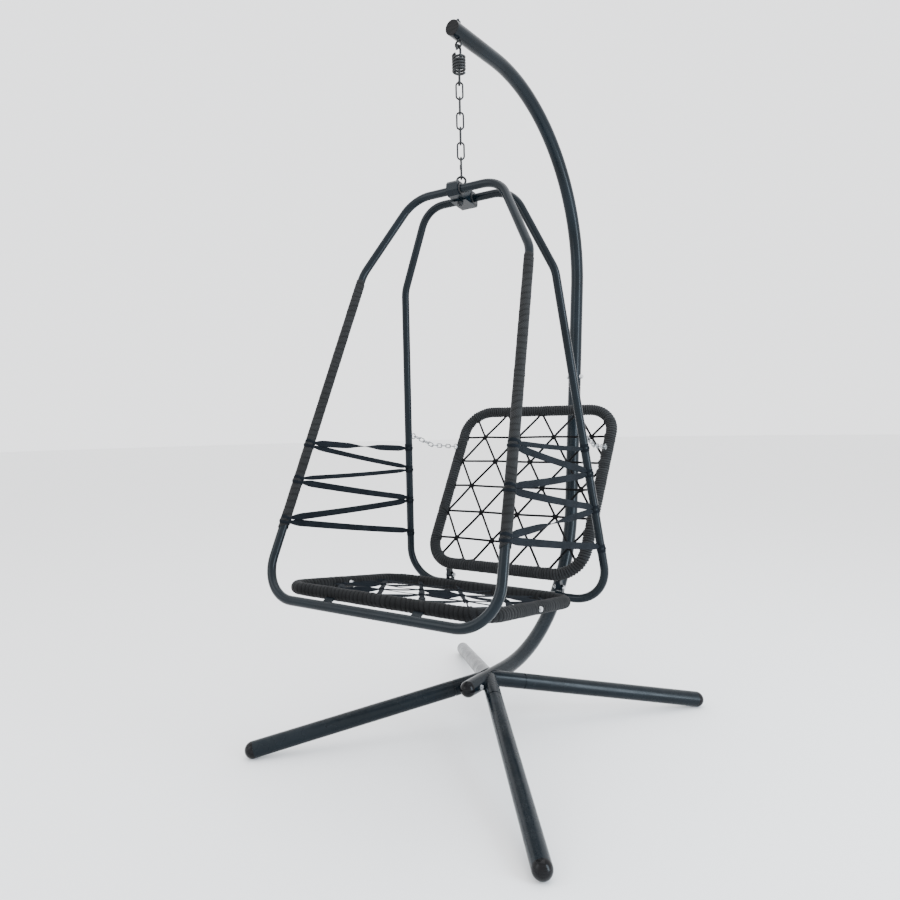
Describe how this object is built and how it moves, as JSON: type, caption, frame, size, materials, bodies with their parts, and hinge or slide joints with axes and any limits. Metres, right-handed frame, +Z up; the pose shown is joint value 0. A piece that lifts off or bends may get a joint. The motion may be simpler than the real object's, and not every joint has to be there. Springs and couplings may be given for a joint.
{
  "type": "hanging swing chair",
  "caption": "Hanging patio swing chair: open steel seat with rope-wrapped frames and corded back, hung by a spring and chain from a curved pole on a cross-shaped base.",
  "frame": {"origin": "on the floor, at the middle of the stand's and chair's footprint", "axes": "+Z up; the chair faces -Y; +X to the right of a viewer who faces the chair"},
  "size_m": [0.8606, 1.2054, 1.933],
  "materials": {
    "painted_steel": "satin anthracite",
    "cap_plastic": "gloss black",
    "bush_plastic": "matte black",
    "dark_steel": "semi-matte black coated steel",
    "zinc": "bright zinc",
    "rope_wrap": "charcoal woven rope",
    "net_cord": "black cord",
    "flat_band": "dark blue-grey webbing"
  },
  "bodies": {
    "stand": {"lower_pole": "painted_steel", "upper_pole": "painted_steel", "base_stubs": "painted_steel", "foot_cap": "cap_plastic", "pole_end_cap": "cap_plastic", "hanging_eye": "dark_steel", "hanging_eye_nut": "dark_steel", "base_bolt": "zinc", "joint_bolt": "zinc", "leg_front_left": "painted_steel", "leg_cap_front_left": "cap_plastic", "leg_front_right": "painted_steel", "leg_cap_front_right": "cap_plastic", "leg_rear_left": "painted_steel", "leg_cap_rear_left": "cap_plastic", "leg_rear_right": "painted_steel", "leg_cap_rear_right": "cap_plastic"},
    "spring": {"spring_top_hook": "dark_steel", "spring_coil": "dark_steel"},
    "spring_hook": {"spring_lower_hook": "dark_steel"},
    "link_1": {"chain_link_1": "dark_steel"},
    "link_2": {"chain_link_2": "dark_steel"},
    "link_3": {"chain_link_3": "dark_steel"},
    "link_4": {"chain_link_4": "dark_steel"},
    "link_5": {"chain_link_5": "dark_steel"},
    "clip": {"clip_body": "dark_steel"},
    "gate": {"clip_gate": "dark_steel"},
    "swivel": {"swivel_eye": "dark_steel", "swivel_nut": "dark_steel"},
    "chair": {"bracket": "painted_steel", "bracket_bushes": "bush_plastic", "front_hoop": "painted_steel", "rear_hoop": "painted_steel", "seat_front_tube": "painted_steel", "seat_rear_tube": "painted_steel", "seat_front_wrap": "rope_wrap", "seat_rear_wrap": "rope_wrap", "seat_bolts": "zinc", "seat_net": "flat_band", "seat_brackets": "painted_steel", "hinge_pins": "zinc", "hoop_eyes": "zinc", "front_wrap_left": "rope_wrap", "hinge_bracket_left": "painted_steel", "arm_straps_left": "flat_band", "arm_knots_left": "rope_wrap", "front_wrap_right": "rope_wrap", "hinge_bracket_right": "painted_steel", "arm_straps_right": "flat_band", "arm_knots_right": "rope_wrap"},
    "back": {"back_frame": "painted_steel", "back_wrap": "rope_wrap", "back_net": "net_cord", "back_eyes": "zinc", "back_tab_left": "painted_steel", "back_tab_right": "painted_steel"},
    "side_front_left": {"side_chain_front_left": "zinc"},
    "side_rear_left": {"side_chain_rear_left": "zinc"},
    "side_front_right": {"side_chain_front_right": "zinc"},
    "side_rear_right": {"side_chain_rear_right": "zinc"}
  },
  "joints": [
    {"name": "swing", "type": "hinge", "parent": "stand", "child": "spring", "pos_m": [0, -0.1329, 1.855], "axis": [1, 0, 0], "range_deg": [-20, 3]},
    {"name": "spring_stretch", "type": "slide", "parent": "spring", "child": "spring_hook", "axis": [0, 0, -1], "range_m": [0, 0.012], "stiffness_N_per_m": 60000, "springref_m": -0.002, "deforming": ["spring_coil"]},
    {"name": "link_1_tilt", "type": "hinge", "parent": "spring_hook", "child": "link_1", "pos_m": [0, -0.1329, 1.754], "axis": [-0.6157, 0.788, 0], "range_deg": [-2, 10]},
    {"name": "link_2_tilt", "type": "hinge", "parent": "link_1", "child": "link_2", "pos_m": [0, -0.1329, 1.7139], "axis": [-0.788, -0.6157, 0], "range_deg": [-2, 10]},
    {"name": "link_3_tilt", "type": "hinge", "parent": "link_2", "child": "link_3", "pos_m": [0, -0.1329, 1.6729], "axis": [0.6157, -0.788, 0], "range_deg": [-10, 2]},
    {"name": "link_4_tilt", "type": "hinge", "parent": "link_3", "child": "link_4", "pos_m": [0, -0.1329, 1.6319], "axis": [0.788, 0.6157, 0], "range_deg": [-10, 2]},
    {"name": "link_5_tilt", "type": "hinge", "parent": "link_4", "child": "link_5", "pos_m": [0, -0.1329, 1.5909], "axis": [-0.6157, 0.788, 0], "range_deg": [-2, 10]},
    {"name": "clip_tilt", "type": "hinge", "parent": "link_5", "child": "clip", "pos_m": [0, -0.1329, 1.5499], "axis": [-0.788, -0.6157, 0], "range_deg": [-2, 10]},
    {"name": "gate_open", "type": "hinge", "parent": "clip", "child": "gate", "pos_m": [-0.00585, -0.12541, 1.5105], "axis": [0.788, 0.6157, 0], "range_deg": [0, 14], "stiffness_Nm_per_rad": 0.02, "springref_deg": -8.59},
    {"name": "chair_tilt", "type": "hinge", "parent": "clip", "child": "swivel", "pos_m": [0, -0.1329, 1.4973], "axis": [0.6157, -0.788, 0], "range_deg": [-6, 3]},
    {"name": "chair_twist", "type": "hinge", "parent": "swivel", "child": "chair", "pos_m": [0, -0.1329, 1.4973], "axis": [-0.0077, 0.1246, 0.9922], "range_deg": [-15, 15]},
    {"name": "back_recline", "type": "hinge", "parent": "chair", "child": "back", "pos_m": [-0.01138, 0.05048, 0.38598], "axis": [0.9981, 0.0619, 0], "range_deg": [0, 7]},
    {"name": "side_front_fold_left", "type": "hinge", "parent": "chair", "child": "side_front_left", "pos_m": [-0.27981, -0.00187, 0.80229], "axis": [0.9981, 0.0619, 0], "range_deg": [-34.8, 0.5]},
    {"name": "side_rear_fold_left", "type": "hinge", "parent": "side_front_left", "child": "side_rear_left", "pos_m": [-0.27759, 0.08569, 0.77149], "axis": [0.9981, 0.0619, 0], "range_deg": [-0.5, 66.3]},
    {"name": "side_front_fold_right", "type": "hinge", "parent": "chair", "child": "side_front_right", "pos_m": [0.26147, 0.0317, 0.80229], "axis": [0.9981, 0.0619, 0], "range_deg": [-34.8, 0.5]},
    {"name": "side_rear_fold_right", "type": "hinge", "parent": "side_front_right", "child": "side_rear_right", "pos_m": [0.24844, 0.11832, 0.77149], "axis": [0.9981, 0.0619, 0], "range_deg": [-0.5, 66.3]}
  ],
  "couplings": [
    {"joint": "side_front_fold_left", "follows": "back_recline", "ratio": -4.9},
    {"joint": "side_rear_fold_left", "follows": "back_recline", "ratio": 9.4},
    {"joint": "side_front_fold_right", "follows": "back_recline", "ratio": -4.9},
    {"joint": "side_rear_fold_right", "follows": "back_recline", "ratio": 9.4}
  ]
}
